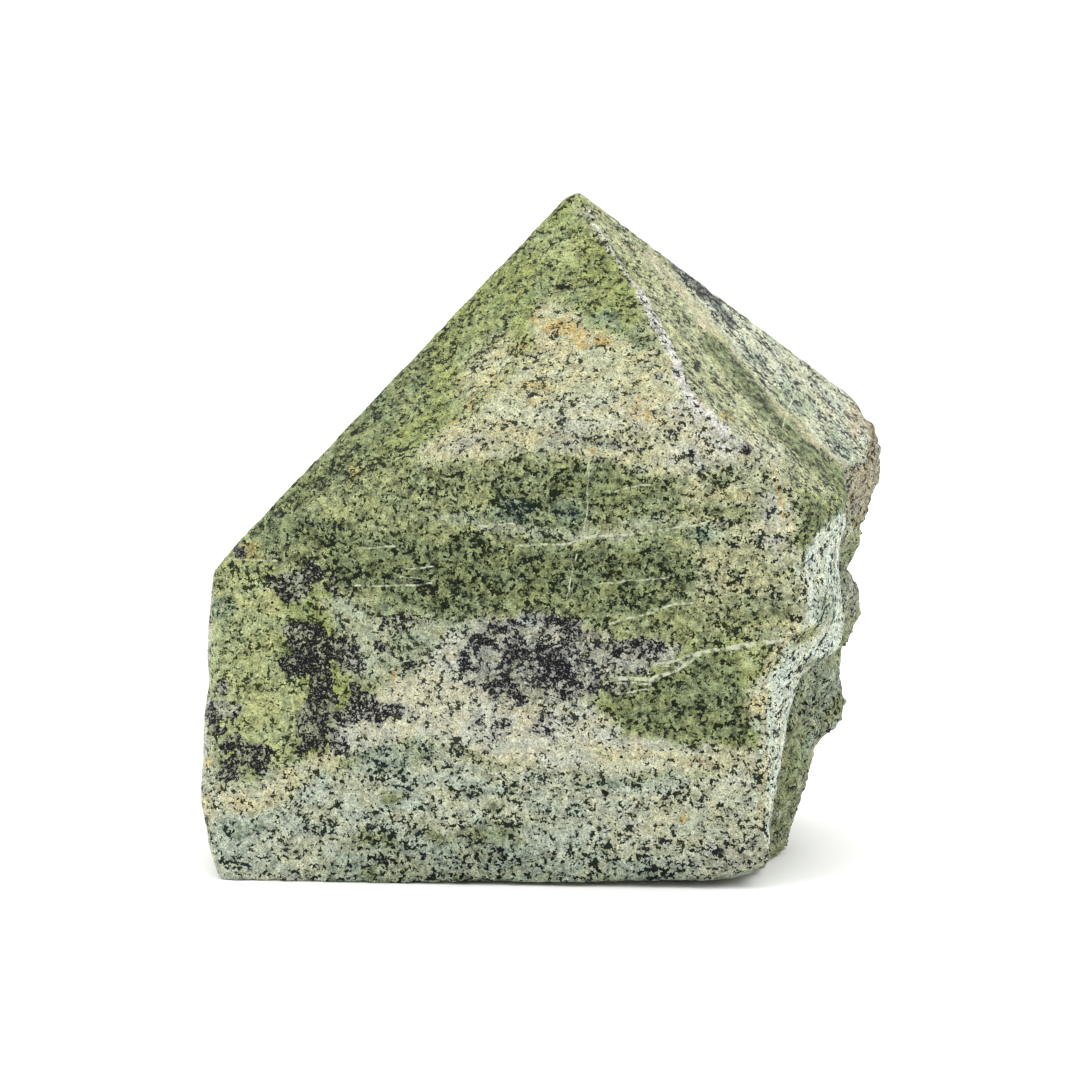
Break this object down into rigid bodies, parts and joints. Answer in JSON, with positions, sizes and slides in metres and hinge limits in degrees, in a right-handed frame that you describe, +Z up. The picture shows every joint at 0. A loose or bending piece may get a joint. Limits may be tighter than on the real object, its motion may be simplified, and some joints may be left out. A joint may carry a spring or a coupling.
{
  "type": "serpentine rock",
  "caption": "Green speckled stone with a flat sawn front, rough broken sides and back, a sawn pyramid point on top and a flat base to stand on.",
  "frame": {"origin": "middle of the object's box, on the plane of the flat base", "axes": "+Z up to the point, -Y towards the viewer, out of the flat sawn front, +X to the viewer's right"},
  "size_m": [0.0996, 0.074, 0.0965],
  "materials": {
    "serpentine": "sawn and lightly smoothed, satin to matte, with raw broken stone at the sides and back"
  },
  "bodies": {
    "root": {"serpentine_rock": "serpentine"}
  },
  "joints": []
}
